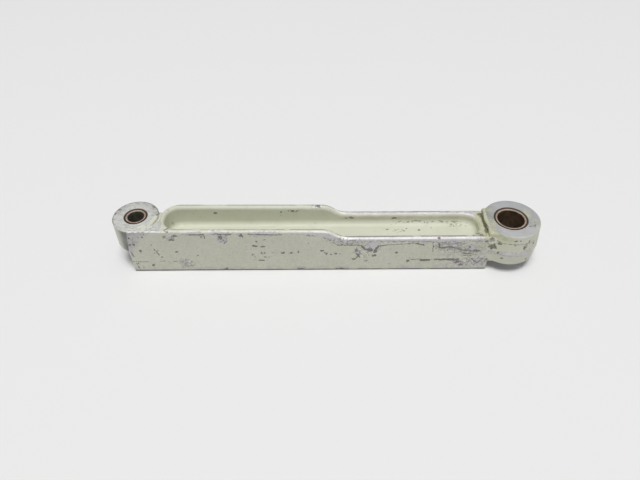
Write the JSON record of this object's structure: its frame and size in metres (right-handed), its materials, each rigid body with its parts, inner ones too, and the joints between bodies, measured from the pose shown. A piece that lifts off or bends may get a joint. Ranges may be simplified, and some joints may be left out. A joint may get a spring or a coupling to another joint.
{
  "type": "nose gear drag link",
  "caption": "Forged landing gear drag link: an H-section beam with a small lug at one end and a large barrel at the other, each with a pressed bush for a pin.",
  "frame": {"origin": "centre of the large bore, halfway along the barrel", "axes": "+X away from the small end along the link, +Y from the flat front face to the back face, +Z along both bores out of the deep pocket"},
  "size_m": [0.2541, 0.0356, 0.0325],
  "materials": {
    "painted_forging": "pale green paint, chipped to bare aluminium along edges and on the lug faces",
    "bush_bronze": "worn bronze with a dull brown bore"
  },
  "bodies": {
    "root": {"link_body": "painted_forging", "small_end_bush": "bush_bronze", "large_end_bush": "bush_bronze"}
  },
  "joints": []
}
